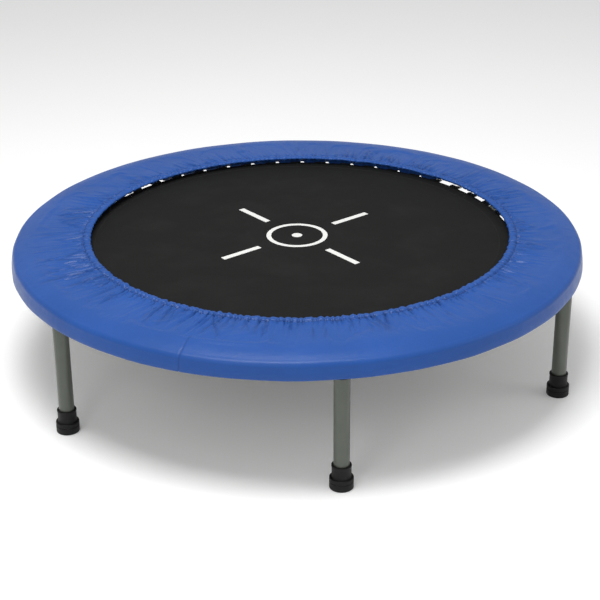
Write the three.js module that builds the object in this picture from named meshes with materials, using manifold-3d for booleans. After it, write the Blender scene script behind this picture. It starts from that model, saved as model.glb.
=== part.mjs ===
// Six-legged mini trampoline: a round tube frame, a jumping mat hung on coil springs, a padded
// gathered cover over the springs, and six legs that screw onto studs under the frame.
// Millimetres, +Z up, origin on the floor under the centre. One leg stands on the -Y axis.
import * as THREE from "three";
import { mergeVertices } from "three/addons/utils/BufferGeometryUtils.js";
import Module from "manifold-3d";

const wasm = await Module();
wasm.setup();

// ---- driving dimensions -------------------------------------------------------------------------
const FIT_GAP = 0.3; // clearance between pieces that touch

const LEG_COUNT = 6;
const SPRINGS_PER_BAY = 8; // springs from one leg to the next
const SPRINGS_LEFT_OUT = [0, 4]; // places in each bay whose springs have no solid here

const FRAME_RADIUS = 473; // middle of the frame tube to the axis
const FRAME_TUBE_RADIUS = 12.5;
const FRAME_WALL = 1.2;
const FRAME_HEIGHT = 209; // middle of the frame tube over the floor

const LEG_RADIUS = 12.5;
const LEG_WALL = 1.2;
const SEAT_RADIUS = 11; // boss under the frame tube that a leg is screwed up against
const SEAT_DROP = 6.5; // the boss's lower face under the frame tube
const STUD_RADIUS = 5;
const STUD_LENGTH = 25;
const THREAD_GAP = 0.4; // stands for the thread between stud and insert
const INSERT_LENGTH = 24;

const FOOT_FLOOR = 6; // rubber under the leg's end
const FOOT_HEIGHT = 40;
const FOOT_SLEEVE_WALL = 2.4;
const FOOT_FLANGE_STEP = 3.6; // how far the lower flange stands out past the sleeve
const FOOT_FLANGE_HEIGHT = 19;
const FOOT_EDGE = 1.5; // small bevel at the foot's edges

const MAT_RISE = 2.8; // the mat's upper face over the middle of the springs
const MAT_THICKNESS = 1.2;
const WEBBING_WIDTH = 26; // webbing sewn under the mat's edge
const WEBBING_THICKNESS = 1.8;

const SPRING_LENGTH = 76; // from its eye to the frame tube's hole
const SPRING_RADIUS = 5;
const SPRING_WIRE = 1.8; // diameter
const RING_LENGTH = 15; // triangle ring between the mat's edge and a spring's hook
const HOOK_LENGTH = 8; // straight hook at each end of a spring's coils
const HOLE_RADIUS = 3.2; // hole in the frame tube for a spring's outer hook
const HOLE_TILT = 35; // degrees from the tube's inner side up to its spring holes
const HOOK_REACH = 3.5; // how far a hook goes in through the tube's wall
const HOOK_DROP = 5; // how far its end turns down inside the tube

const COVER_SKIN = 1.2;
const COVER_OVERHANG = 1.3; // air between the frame tube's outer side and the cover's skirt
const COVER_CORNER = 9; // radius where the cover's top turns down into its skirt
const SKIRT_HEIGHT = 38;
const SKIRT_LIP = 2.3; // how far the skirt's lower hem turns in
const FOAM_THICKNESS = 7.2;
const HEM_COVERS = 11.3; // how far the gathered cover reaches in over the mat
const HEM_WIDTH = 12;
const HEM_HEIGHT = 6; // height of the gathered channel round the elastic
const HEM_RISE = 4.3; // how far the channel's top stands over the flat of the cover
const ELASTIC_WIDTH = 6;
const ELASTIC_THICKNESS = 1.4;

// ---- sizes that follow --------------------------------------------------------------------------
const degrees = THREE.MathUtils.degToRad;
const SPRING_COUNT = LEG_COUNT * SPRINGS_PER_BAY;
const frameTop = FRAME_HEIGHT + FRAME_TUBE_RADIUS;
const seatHeight = FRAME_HEIGHT - FRAME_TUBE_RADIUS - SEAT_DROP;
const legTop = seatHeight - FIT_GAP;
const legBottom = FOOT_FLOOR + FIT_GAP;
const sleeveBore = LEG_RADIUS + FIT_GAP;
const sleeveRadius = sleeveBore + FOOT_SLEEVE_WALL;
const flangeRadius = sleeveRadius + FOOT_FLANGE_STEP;
// Where a spring's hook goes through the tube wall, in the plane of the spring.
const holeTilt = degrees(HOLE_TILT);
const holeRadius = FRAME_RADIUS - FRAME_TUBE_RADIUS * Math.cos(holeTilt);
const springHeight = FRAME_HEIGHT + FRAME_TUBE_RADIUS * Math.sin(holeTilt);
const springStart = holeRadius - SPRING_LENGTH;
const matRadius = springStart - RING_LENGTH;
const matTop = springHeight + MAT_RISE;
const matUnder = matTop - MAT_THICKNESS;
const foamUnder = Math.max(frameTop, springHeight + SPRING_RADIUS) + FIT_GAP;
const foamTop = foamUnder + FOAM_THICKNESS;
const coverUnder = foamTop + FIT_GAP;
const coverTop = coverUnder + COVER_SKIN;
const skirtInside = FRAME_RADIUS + FRAME_TUBE_RADIUS + COVER_OVERHANG;
const skirtOutside = skirtInside + COVER_SKIN;
const skirtBottom = coverTop - SKIRT_HEIGHT;
const hemTop = coverTop + HEM_RISE;
const hemBottom = hemTop - HEM_HEIGHT;
const hemRadius = matRadius - HEM_COVERS;
const hemOuter = hemRadius + HEM_WIDTH;

// ---- helpers ------------------------------------------------------------------------------------

// A lathe about +Z. The profile is [radius, height] pairs, counter-clockwise as seen with the radius
// to the right and the height up.
function lathe(profile, steps) {
  const points = profile.map(([r, z]) => new THREE.Vector2(r, z));
  return new THREE.LatheGeometry(points, steps).rotateX(Math.PI / 2);
}

// A closed ring section: the last point is the first again.
function ring(profile, steps) {
  return lathe([...profile, profile[0]], steps);
}

function boxSection(inner, outer, low, high) {
  return [[inner, low], [outer, low], [outer, high], [inner, high]];
}

function circleSection(radius, height, r, sides) {
  return Array.from({ length: sides }, (_, i) => {
    const turn = (2 * Math.PI * (i + 0.5)) / sides;
    return [radius + r * Math.cos(turn), height + r * Math.sin(turn)];
  });
}

function solidFrom(geometry) {
  const plain = geometry.clone();
  for (const name of ["normal", "uv"]) plain.deleteAttribute(name);
  const merged = mergeVertices(plain, 1e-3);
  return new wasm.Manifold(
    new wasm.Mesh({
      numProp: 3,
      vertProperties: merged.attributes.position.array,
      triVerts: new Uint32Array(merged.index.array),
    }),
  );
}

function geometryFrom(solid) {
  const mesh = solid.getMesh();
  const geometry = new THREE.BufferGeometry();
  geometry.setAttribute("position", new THREE.BufferAttribute(mesh.vertProperties, 3));
  geometry.setIndex(new THREE.BufferAttribute(mesh.triVerts, 1));
  geometry.computeVertexNormals();
  return geometry;
}

// A round bar between two points, for joining and cutting.
function bar(from, to, radius, sides) {
  const start = new THREE.Vector3(...from);
  const along = new THREE.Vector3(...to).sub(start);
  const turn = new THREE.Quaternion().setFromUnitVectors(
    new THREE.Vector3(0, 1, 0), along.clone().normalize(),
  );
  const middle = start.addScaledVector(along, 0.5);
  return new THREE.CylinderGeometry(radius, radius, along.length(), sides)
    .applyQuaternion(turn)
    .translate(middle.x, middle.y, middle.z);
}

function join(...geometries) {
  return geometries.map(solidFrom).reduce((all, next) => all.add(next));
}

const model = new THREE.Group();

function addPiece(name, geometry, material, parent = model) {
  const mesh = new THREE.Mesh(geometry, material);
  mesh.name = name;
  parent.add(mesh);
}

// A group turned about +Z, so that its own +X points outwards at that angle.
function turned(angle) {
  const group = new THREE.Group();
  group.rotation.z = degrees(angle);
  model.add(group);
  return group;
}

const RING_STEPS = 60; // flats round the frame, the mat and the cover
const twoDigits = (n) => String(n).padStart(2, "0");

// ---- materials ----------------------------------------------------------------------------------
const paint = (color, roughness, metalness) =>
  new THREE.MeshStandardMaterial({ color, roughness, metalness });
const frameSteel = () => paint(0x6b7068, 0.45, 0.5);
const legPaint = () => paint(0x62665c, 0.4, 0.5);
const zincSteel = () => paint(0xb9bcc0, 0.3, 0.9);
const footRubber = () => paint(0x161617, 0.7, 0);
const matFabric = () => paint(0x262625, 0.85, 0);
const webbingFabric = () => paint(0x1b1b1c, 0.9, 0);
const coverFabric = () => paint(0x3f62b0, 0.55, 0);
const foam = () => paint(0xe9e8e2, 0.9, 0);
const elastic = () => paint(0xd8d8d4, 0.8, 0);

// ---- frame --------------------------------------------------------------------------------------
const legAngle = (leg) => -90 + (leg * 360) / LEG_COUNT;
const springAngle = (place) => -90 + (place * 360) / SPRING_COUNT;

function frameRing() {
  const outer = ring(
    circleSection(FRAME_RADIUS, FRAME_HEIGHT, FRAME_TUBE_RADIUS, 10), RING_STEPS,
  );
  const inner = ring(
    circleSection(FRAME_RADIUS, FRAME_HEIGHT, FRAME_TUBE_RADIUS - FRAME_WALL, 10), RING_STEPS,
  );
  let solid = solidFrom(outer);
  for (let leg = 0; leg < LEG_COUNT; leg++) {
    const turn = degrees(legAngle(leg));
    const x = FRAME_RADIUS * Math.cos(turn);
    const y = FRAME_RADIUS * Math.sin(turn);
    const seat = bar([x, y, seatHeight], [x, y, FRAME_HEIGHT], SEAT_RADIUS, 16);
    const stud = bar([x, y, seatHeight - STUD_LENGTH], [x, y, FRAME_HEIGHT], STUD_RADIUS, 12);
    solid = solid.add(solidFrom(seat)).add(solidFrom(stud));
  }
  solid = solid.subtract(solidFrom(inner));
  const throughWall = 3 * FRAME_WALL;
  for (let place = 0; place < SPRING_COUNT; place++) {
    const turn = degrees(springAngle(place));
    const at = (depth) => {
      const r = holeRadius + depth * Math.cos(holeTilt);
      const z = springHeight - depth * Math.sin(holeTilt);
      return [r * Math.cos(turn), r * Math.sin(turn), z];
    };
    solid = solid.subtract(solidFrom(bar(at(-throughWall), at(throughWall), HOLE_RADIUS, 5)));
  }
  return geometryFrom(solid);
}

addPiece("frame_ring", frameRing(), frameSteel());

// ---- springs ------------------------------------------------------------------------------------
// Each lies along its own +X: the eye at the mat's ring, the coils, and the hook that goes in through
// the frame tube's wall and turns down behind it.
function springBody() {
  const wire = SPRING_WIRE / 2;
  const coilStart = springStart + HOOK_LENGTH;
  const coilEnd = holeRadius - HOOK_LENGTH;
  const hookEnd = holeRadius + HOOK_REACH;
  const wireBox = new THREE.BoxGeometry(SPRING_WIRE, SPRING_WIRE, HOOK_DROP + wire)
    .translate(hookEnd - wire, 0, springHeight + (wire - HOOK_DROP) / 2);
  const solid = join(
    bar([springStart, 0, springHeight], [hookEnd - wire, 0, springHeight], wire, 4),
    bar([coilStart, 0, springHeight], [coilEnd, 0, springHeight], SPRING_RADIUS, 6),
    wireBox,
  );
  return geometryFrom(solid);
}

const springSolid = springBody();
for (let place = 0; place < SPRING_COUNT; place++) {
  if (SPRINGS_LEFT_OUT.includes(place % SPRINGS_PER_BAY)) continue;
  addPiece("spring_" + twoDigits(place + 1), springSolid, zincSteel(), turned(springAngle(place)));
}

// ---- jumping mat --------------------------------------------------------------------------------
addPiece(
  "jumping_mat",
  lathe([[0, matUnder], [matRadius, matUnder], [matRadius, matTop], [0, matTop]], RING_STEPS),
  matFabric(),
);
const webbingTop = matUnder - FIT_GAP;
addPiece(
  "mat_edge_webbing",
  ring(
    boxSection(matRadius - WEBBING_WIDTH, matRadius, webbingTop - WEBBING_THICKNESS, webbingTop),
    RING_STEPS,
  ),
  webbingFabric(),
);

// ---- padded cover -------------------------------------------------------------------------------
// Points on an arc about a centre, from one angle to another.
function arc(centre, radius, from, to, steps) {
  return Array.from({ length: steps + 1 }, (_, i) => {
    const turn = degrees(from + ((to - from) * i) / steps);
    return [centre[0] + radius * Math.cos(turn), centre[1] + radius * Math.sin(turn)];
  });
}

const cornerCentre = [skirtOutside - COVER_CORNER, coverTop - COVER_CORNER];
const innerCorner = COVER_CORNER - COVER_SKIN;
const lipInside = skirtInside - SKIRT_LIP;
const hemRiseStart = hemOuter + HEM_WIDTH / 2;

function coverSection() {
  const middle = (hemTop + hemBottom) / 2;
  const foldEnd = hemOuter - HEM_WIDTH / 3;
  return [
    // outside, from the skirt's lip up over the corner and in round the gathered channel
    [lipInside, skirtBottom],
    [skirtOutside, skirtBottom],
    ...arc(cornerCentre, COVER_CORNER, 0, 90, 3),
    [hemRiseStart, coverTop],
    [foldEnd, hemTop],
    [hemRadius + COVER_SKIN, hemTop - COVER_SKIN],
    [hemRadius, middle],
    [hemRadius + COVER_SKIN, hemBottom],
    [foldEnd, hemBottom],
    // back along the inside of the channel and the skin
    [foldEnd, hemBottom + COVER_SKIN],
    [hemRadius + 2 * COVER_SKIN, hemBottom + COVER_SKIN],
    [hemRadius + 1.5 * COVER_SKIN, middle],
    [hemRadius + 2 * COVER_SKIN, hemTop - 2 * COVER_SKIN],
    [foldEnd, hemTop - 1.5 * COVER_SKIN],
    [hemRiseStart - COVER_SKIN / 2, coverUnder],
    ...arc(cornerCentre, innerCorner, 90, 0, 3),
    [skirtInside, skirtBottom + COVER_SKIN],
    [lipInside, skirtBottom + COVER_SKIN],
  ];
}

addPiece("frame_cover", ring(coverSection(), RING_STEPS), coverFabric());

const foamInner = hemRiseStart + FIT_GAP;
const foamOuter = skirtInside - COVER_CORNER;
addPiece(
  "foam_ring",
  ring(boxSection(foamInner, foamOuter, foamUnder, foamTop), RING_STEPS),
  foam(),
);

const hemMiddle = hemRadius + HEM_WIDTH / 2;
const elasticMiddle = (hemTop + hemBottom) / 2 - COVER_SKIN / 2;
addPiece(
  "hem_elastic",
  ring(
    boxSection(
      hemMiddle - ELASTIC_WIDTH / 2, hemMiddle + ELASTIC_WIDTH / 2,
      elasticMiddle - ELASTIC_THICKNESS / 2, elasticMiddle + ELASTIC_THICKNESS / 2,
    ),
    RING_STEPS,
  ),
  elastic(),
);

// ---- legs ---------------------------------------------------------------------------------------
const LEG_STEPS = 16;
const legBore = LEG_RADIUS - LEG_WALL;

const legTube = ring(boxSection(legBore, LEG_RADIUS, legBottom, legTop), LEG_STEPS);
const threadedInsert = ring(
  boxSection(STUD_RADIUS + THREAD_GAP, legBore - FIT_GAP, legTop - INSERT_LENGTH, legTop), LEG_STEPS,
);
const rubberFoot = lathe(
  [
    [0, 0],
    [flangeRadius - FOOT_EDGE, 0],
    [flangeRadius, FOOT_EDGE],
    [flangeRadius, FOOT_FLANGE_HEIGHT - FOOT_EDGE],
    [sleeveRadius, FOOT_FLANGE_HEIGHT],
    [sleeveRadius, FOOT_HEIGHT],
    [sleeveBore, FOOT_HEIGHT],
    [sleeveBore, FOOT_FLOOR],
    [0, FOOT_FLOOR],
  ],
  LEG_STEPS,
);

for (let leg = 0; leg < LEG_COUNT; leg++) {
  const place = turned(legAngle(leg));
  const foot = new THREE.Group();
  foot.position.x = FRAME_RADIUS;
  place.add(foot);
  const number = leg + 1;
  addPiece("leg_insert_" + number, threadedInsert, zincSteel(), foot);
  addPiece("leg_tube_" + number, legTube, legPaint(), foot);
  addPiece("rubber_foot_" + number, rubberFoot, footRubber(), foot);
}

export default model;
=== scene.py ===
"""Mini trampoline: the visible pieces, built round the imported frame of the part."""
import math

import bmesh
import bpy
import numpy as np
from bpy.props import FloatProperty, FloatVectorProperty, IntProperty, PointerProperty
from mathutils import Matrix, Vector


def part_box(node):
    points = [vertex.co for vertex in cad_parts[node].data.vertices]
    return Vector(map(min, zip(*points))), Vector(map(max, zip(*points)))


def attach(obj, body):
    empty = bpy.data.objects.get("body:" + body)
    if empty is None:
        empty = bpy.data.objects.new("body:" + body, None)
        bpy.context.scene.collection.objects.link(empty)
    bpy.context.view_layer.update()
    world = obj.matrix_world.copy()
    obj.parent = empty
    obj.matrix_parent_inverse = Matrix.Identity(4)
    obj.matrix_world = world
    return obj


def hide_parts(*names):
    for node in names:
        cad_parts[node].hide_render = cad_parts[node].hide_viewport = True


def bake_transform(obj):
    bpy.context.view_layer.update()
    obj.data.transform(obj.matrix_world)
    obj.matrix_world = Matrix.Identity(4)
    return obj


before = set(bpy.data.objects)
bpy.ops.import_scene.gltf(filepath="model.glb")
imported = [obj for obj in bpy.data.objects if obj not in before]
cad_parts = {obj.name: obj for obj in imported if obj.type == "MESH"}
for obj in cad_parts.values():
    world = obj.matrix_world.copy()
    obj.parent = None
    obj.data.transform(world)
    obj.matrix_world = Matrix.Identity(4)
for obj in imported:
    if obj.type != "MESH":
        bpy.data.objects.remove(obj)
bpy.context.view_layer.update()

bl_info = {
    "name": "Mini Trampoline Builder",
    "version": (1, 0, 0),
    "blender": (4, 5, 0),
    "location": "3D View > Sidebar > Trampoline",
    "description": "Builds the frame, springs, mat, padded cover and legs of a mini trampoline",
    "category": "Add Mesh",
}

MM = 0.001
TURN = 2 * math.pi


# ---- places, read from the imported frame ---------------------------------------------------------
def node_points(node):
    return np.array([v.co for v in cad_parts[node].data.vertices])


def ring_size(node):
    """Inner radius, outer radius, lowest and highest height of a round node about the Z axis."""
    points = node_points(node)
    radii = np.hypot(points[:, 0], points[:, 1])
    return radii.min(), radii.max(), points[:, 2].min(), points[:, 2].max()


def upright_size(node):
    """Distance of an upright round node from the Z axis, its radius, lowest and highest height."""
    low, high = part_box(node)
    middle = (low + high) / 2
    points = node_points(node)
    outer = np.hypot(points[:, 0] - middle.x, points[:, 1] - middle.y).max()
    return np.hypot(middle.x, middle.y), outer, low.z, high.z


MAT_RADIUS, MAT_LOW, MAT_TOP = ring_size("jumping_mat")[1:]
WEBBING_INNER, WEBBING_OUTER, WEBBING_LOW, WEBBING_HIGH = ring_size("mat_edge_webbing")
HEM_RADIUS, COVER_RADIUS, COVER_LOW, COVER_HIGH = ring_size("frame_cover")
FOAM_INNER, _, FOAM_LOW, FOAM_HIGH = ring_size("foam_ring")
ELASTIC_INNER, ELASTIC_OUTER, ELASTIC_LOW, ELASTIC_HIGH = ring_size("hem_elastic")
ELASTIC_MIDDLE = (ELASTIC_LOW + ELASTIC_HIGH) / 2
STUD_LOW, FRAME_TOP = ring_size("frame_ring")[2:]
COVER_FLAT = FOAM_HIGH + 1.5 * MM
LEG_CIRCLE, LEG_RADIUS, LEG_LOW, LEG_TOP = upright_size("leg_tube_1")
INSERT_RADIUS, INSERT_LOW, INSERT_TOP = upright_size("leg_insert_1")[1:]
FOOT_RADIUS, FOOT_LOW, FOOT_TOP = upright_size("rubber_foot_1")[1:]
SPRING_START, SPRING_TIP, SPRING_LOW, SPRING_HIGH = ring_size("spring_02")
SPRING_HEIGHT = (SPRING_LOW + SPRING_HIGH) / 2
SPRING_COUNT = 48
LEG_COUNT = 6
HOOK_REACH = 3.5 * MM
TUBE_HOLE = SPRING_TIP - HOOK_REACH


def leg_angle(leg):
    return TURN * ((leg - 1) / LEG_COUNT - 0.25)


def spring_angle(place):
    return TURN * (place / SPRING_COUNT - 0.25)


# ---- settings -----------------------------------------------------------------------------------
class FrameSettings(bpy.types.PropertyGroup):
    tube_radius: FloatProperty(
        name="Tube radius", description="Outer radius of the frame tube",
        default=12.5 * MM, unit="LENGTH",
    )
    hole_radius: FloatProperty(
        name="Hook hole radius", description="Radius of the holes that the spring hooks go into",
        default=3.2 * MM, unit="LENGTH",
    )
    stud_radius: FloatProperty(
        name="Stud radius", description="Outer radius of the leg studs' thread",
        default=5 * MM, unit="LENGTH",
    )
    thread_pitch: FloatProperty(
        name="Thread pitch", description="Distance from one thread turn to the next",
        default=1.5 * MM, unit="LENGTH",
    )
    paint: FloatVectorProperty(
        name="Paint", description="Colour of the frame and leg paint",
        default=(0.086, 0.097, 0.079), subtype="COLOR", size=3,
    )


class SpringSettings(bpy.types.PropertyGroup):
    wire_radius: FloatProperty(
        name="Wire radius", description="Radius of the spring wire",
        default=0.9 * MM, unit="LENGTH",
    )
    coil_radius: FloatProperty(
        name="Coil radius", description="Radius of the coils, to the middle of the wire",
        default=4.1 * MM, unit="LENGTH",
    )
    coil_pitch: FloatProperty(
        name="Coil pitch", description="Distance from one coil to the next",
        default=2.05 * MM, unit="LENGTH",
    )
    ring_wire_radius: FloatProperty(
        name="Ring wire radius", description="Radius of the triangle rings' wire",
        default=1.25 * MM, unit="LENGTH",
    )
    steel: FloatVectorProperty(
        name="Steel", description="Colour of the plated springs and rings",
        default=(0.56, 0.57, 0.58), subtype="COLOR", size=3,
    )


class MatSettings(bpy.types.PropertyGroup):
    weave: FloatProperty(
        name="Weave", description="Distance from one thread of the mat to the next",
        default=1.3 * MM, unit="LENGTH",
    )
    cloth: FloatVectorProperty(
        name="Cloth", description="Colour of the mat",
        default=(0.0098, 0.0098, 0.0094), subtype="COLOR", size=3,
    )
    print_colour: FloatVectorProperty(
        name="Print", description="Colour of the printed bars and ring",
        default=(0.80, 0.80, 0.78), subtype="COLOR", size=3,
    )
    bar_start: FloatProperty(
        name="Bar start", description="Distance of the printed bars from the middle",
        default=82 * MM, unit="LENGTH",
    )
    bar_end: FloatProperty(
        name="Bar end", description="Distance of the bars' far ends from the middle",
        default=160 * MM, unit="LENGTH",
    )
    bar_width: FloatProperty(
        name="Bar width", description="Width of a printed bar", default=10.7 * MM, unit="LENGTH",
    )
    print_turn: FloatProperty(
        name="Print turn", description="Turn of the printed bars about the middle",
        default=math.radians(31), unit="ROTATION",
    )


class CoverSettings(bpy.types.PropertyGroup):
    steps: IntProperty(
        name="Steps", description="Number of flats round the cover", default=1536, min=96,
    )
    creases: IntProperty(
        name="Creases", description="Number of gathers round the inner edge", default=230, min=12,
    )
    crease_depth: FloatProperty(
        name="Crease depth", description="Depth of the deepest gathers at the stitch line",
        default=4.0 * MM, unit="LENGTH",
    )
    crease_length: FloatProperty(
        name="Crease length", description="How far the longest gathers run outwards",
        default=78 * MM, unit="LENGTH",
    )
    puff: FloatProperty(
        name="Puffs", description="Height of the puffs between one gather and the next",
        default=2.0 * MM, unit="LENGTH",
    )
    channel_width: FloatProperty(
        name="Channel width", description="Width of the sewn channel round the elastic",
        default=12.5 * MM, unit="LENGTH",
    )
    edge_width: FloatProperty(
        name="Edge width", description="Width of the round edge between the top and the skirt",
        default=8 * MM, unit="LENGTH",
    )
    edge_height: FloatProperty(
        name="Edge height", description="Height of the round edge between the top and the skirt",
        default=8 * MM, unit="LENGTH",
    )
    fullness: FloatProperty(
        name="Fullness", description="How much wider the gathered cloth is than its ring",
        default=0.06, min=0, max=1,
    )
    settle_limit: FloatProperty(
        name="Settle limit", description="How far a point may move as the cloth settles",
        default=1.2 * MM, unit="LENGTH",
    )
    wall: FloatProperty(name="Wall", description="Thickness of the cloth", default=1 * MM,
                        unit="LENGTH")
    sag: FloatProperty(
        name="Sag", description="How far the hem hangs down on its slack side",
        default=0.8 * MM, unit="LENGTH",
    )
    flare: FloatProperty(
        name="Flare", description="How far the skirt's lower edge stands out",
        default=2.6 * MM, unit="LENGTH",
    )
    front_slope: FloatProperty(
        name="Front slope", description="How far the pad falls towards its outer edge in front",
        default=7.5 * MM, unit="LENGTH",
    )
    slack_angle: FloatProperty(
        name="Slack side", description="Where the hem hangs down the furthest",
        default=math.radians(82), unit="ROTATION",
    )
    slack_span: FloatProperty(
        name="Slack span", description="How far round to each side the hem hangs slack",
        default=math.radians(50), unit="ROTATION",
    )
    hem_offset: FloatProperty(
        name="Hem offset", description="How far the elastic has pulled the hem off centre",
        default=5 * MM, unit="LENGTH",
    )
    hem_side: FloatProperty(
        name="Hem side", description="The side that the hem is pulled to",
        default=math.radians(-8), unit="ROTATION",
    )
    cloth: FloatVectorProperty(
        name="Cloth", description="Colour of the coated cloth",
        default=(0.020, 0.084, 0.330), subtype="COLOR", size=3,
    )
    seam_angle: FloatProperty(
        name="Seam", description="Where the ring of cloth is sewn closed",
        default=math.radians(-118.8), unit="ROTATION",
    )


class LegSettings(bpy.types.PropertyGroup):
    wall: FloatProperty(
        name="Wall", description="Wall of the leg tube", default=1.2 * MM, unit="LENGTH",
    )
    sleeve_wall: FloatProperty(
        name="Sleeve wall", description="Wall of the rubber foot's sleeve",
        default=2.4 * MM, unit="LENGTH",
    )
    flange_height: FloatProperty(
        name="Flange height", description="Height of the foot's wide lower part",
        default=19 * MM, unit="LENGTH",
    )
    rubber: FloatVectorProperty(
        name="Rubber", description="Colour of the feet",
        default=(0.004, 0.004, 0.0042), subtype="COLOR", size=3,
    )


class StageSettings(bpy.types.PropertyGroup):
    lens: FloatProperty(name="Lens", description="Focal length in millimetres", default=91.216)
    distance: FloatProperty(
        name="Distance", description="From the camera to the point it looks at",
        default=2.3702, unit="LENGTH",
    )
    side: FloatProperty(
        name="Side", description="How far right of the centre the camera looks",
        default=4.4 * MM, unit="LENGTH",
    )
    near: FloatProperty(
        name="Near", description="How far before the centre the camera looks",
        default=291.7 * MM, unit="LENGTH",
    )
    pitch: FloatProperty(
        name="Pitch", description="How far the camera looks down",
        default=math.radians(24.970), unit="ROTATION",
    )
    heading: FloatProperty(
        name="Heading", description="Turn of the camera about the object, from its front",
        default=math.radians(-7.942), unit="ROTATION",
    )
    roll: FloatProperty(
        name="Roll", description="Turn of the camera about its own line of sight",
        default=math.radians(-0.384), unit="ROTATION",
    )
    floor: FloatVectorProperty(
        name="Floor", description="Colour of the floor", default=(0.95, 0.95, 0.95),
        subtype="COLOR", size=3,
    )


SETTINGS = {
    "trampoline_frame": FrameSettings,
    "trampoline_springs": SpringSettings,
    "trampoline_mat": MatSettings,
    "trampoline_cover": CoverSettings,
    "trampoline_legs": LegSettings,
    "trampoline_stage": StageSettings,
}


# ---- mesh helpers -------------------------------------------------------------------------------
def tidy_solid(bm):
    """Joins doubled vertices and turns the faces outwards."""
    bmesh.ops.remove_doubles(bm, verts=bm.verts, dist=0.001 * MM)
    bmesh.ops.recalc_face_normals(bm, faces=bm.faces)
    return bm


def turned(profile, steps, closed=True, sectors=1):
    """A shape turned about +Z from (radius, height) points; a closed profile makes a ring. A fine
    one is made quicker as one sector that is then repeated."""
    bm = bmesh.new()
    verts = [bm.verts.new((r, 0, z)) for r, z in profile]
    pairs = list(zip(verts, verts[1:])) + ([(verts[-1], verts[0])] if closed else [])
    edges = [bm.edges.new(pair) for pair in pairs]
    bmesh.ops.spin(
        bm, geom=verts + edges, cent=(0, 0, 0), axis=(0, 0, 1),
        angle=TURN / sectors, steps=steps // sectors, use_merge=sectors == 1,
    )
    if sectors > 1:
        copies_round(bm, sectors)
    return tidy_solid(bm)


def arc(centre, radius, start, end, steps):
    """Points on an arc in degrees, about a (radius, height) centre."""
    angles = np.radians(np.linspace(start, end, steps + 1))
    return [(centre[0] + radius * math.cos(a), centre[1] + radius * math.sin(a)) for a in angles]


def rounded_section(points, corners, steps=3):
    """A closed section whose corners are rounded by the radii in corners."""
    out = []
    count = len(points)
    for i, (point, radius) in enumerate(zip(points, corners)):
        here = Vector(point)
        before = (Vector(points[i - 1]) - here)
        after = (Vector(points[(i + 1) % count]) - here)
        if radius <= 0:
            out.append(tuple(here))
            continue
        half = before.angle(after) / 2
        away = radius / math.tan(half)
        start, end = here + before.normalized() * away, here + after.normalized() * away
        for step in range(steps + 1):
            share = step / steps
            out.append(tuple(start.lerp(here, share).lerp(here.lerp(end, share), share)))
    return out


def corner_cut(points, rounds, closed=False):
    """Rounds off a line of points by cutting its corners."""
    for _ in range(rounds):
        ends = [] if closed else [points[0]]
        pairs = list(zip(points, points[1:])) + ([(points[-1], points[0])] if closed else [])
        cut = [p for a, b in pairs for p in (a.lerp(b, 0.25), a.lerp(b, 0.75))]
        points = ends + cut + ([] if closed else [points[-1]])
    return points


def wire(path, radius, sides, closed=False):
    """A round wire along a line of points, made by extruding a circle from point to point."""
    count = len(path)
    ahead = [path[(i + 1) % count] if closed or i + 1 < count else None for i in range(count)]
    behind = [path[i - 1] if closed or i else None for i in range(count)]
    tangents = [((a or p) - (b or p)).normalized() for a, b, p in zip(ahead, behind, path)]
    turn = Vector((0, 0, 1)).rotation_difference(tangents[0])
    bm = bmesh.new()
    place = Matrix.Translation(path[0]) @ turn.to_matrix().to_4x4()
    bmesh.ops.create_circle(bm, cap_ends=False, radius=radius, segments=sides, matrix=place)
    first = loop = list(bm.edges)
    for i in range(1, count):
        grown = bmesh.ops.extrude_edge_only(bm, edges=loop)["geom"]
        loop = [g for g in grown if isinstance(g, bmesh.types.BMEdge)]
        verts = [g for g in grown if isinstance(g, bmesh.types.BMVert)]
        step = tangents[i - 1].rotation_difference(tangents[i]).to_matrix().to_4x4()
        move = Matrix.Translation(path[i]) @ step @ Matrix.Translation(-path[i - 1])
        bmesh.ops.transform(bm, matrix=move, verts=verts)
    if closed:
        bmesh.ops.bridge_loops(bm, edges=first + loop)
    else:
        for end in (first, loop):
            bmesh.ops.contextual_create(bm, geom=end)
    return tidy_solid(bm)


def copies_round(bm, count):
    """Repeats everything in bm evenly about the Z axis."""
    bmesh.ops.spin(
        bm, geom=bm.verts[:] + bm.edges[:] + bm.faces[:], cent=(0, 0, 0), axis=(0, 0, 1),
        angle=TURN * (count - 1) / count, steps=count - 1, use_duplicate=True,
    )
    return bm


def moved(bm, matrix):
    bmesh.ops.transform(bm, matrix=matrix, verts=bm.verts)
    return bm


def joined(target, *others):
    """Adds the other shapes to target."""
    for other in others:
        mesh = bpy.data.meshes.new("part")
        other.to_mesh(mesh)
        other.free()
        target.from_mesh(mesh)
        bpy.data.meshes.remove(mesh)
    return target


def piece(name, bm, material, sharp=35):
    """An object from a bmesh, smooth but for its sharp edges."""
    mesh = bpy.data.meshes.new(name)
    bm.to_mesh(mesh)
    bm.free()
    return dressed(name, mesh, material, sharp)


def dressed(name, mesh, material, sharp=35):
    obj = bpy.data.objects.new(name, mesh)
    bpy.context.scene.collection.objects.link(obj)
    mesh.shade_smooth()
    mesh.set_sharp_from_angle(angle=math.radians(sharp))
    mesh.materials.clear()
    mesh.materials.append(material)
    return obj


def cut_away(obj, cutters):
    """Cuts the shape in the bmesh cutters out of obj."""
    mesh = bpy.data.meshes.new("cutters")
    cutters.to_mesh(mesh)
    cutters.free()
    tool = bpy.data.objects.new("cutters", mesh)
    bpy.context.scene.collection.objects.link(tool)
    cut = obj.modifiers.new("cut", "BOOLEAN")
    cut.operation = "DIFFERENCE"
    cut.solver = "EXACT"
    cut.object = tool
    depsgraph = bpy.context.evaluated_depsgraph_get()
    result = bpy.data.meshes.new_from_object(obj.evaluated_get(depsgraph))
    obj.modifiers.clear()
    obj.data = result
    bpy.data.objects.remove(tool)


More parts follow.
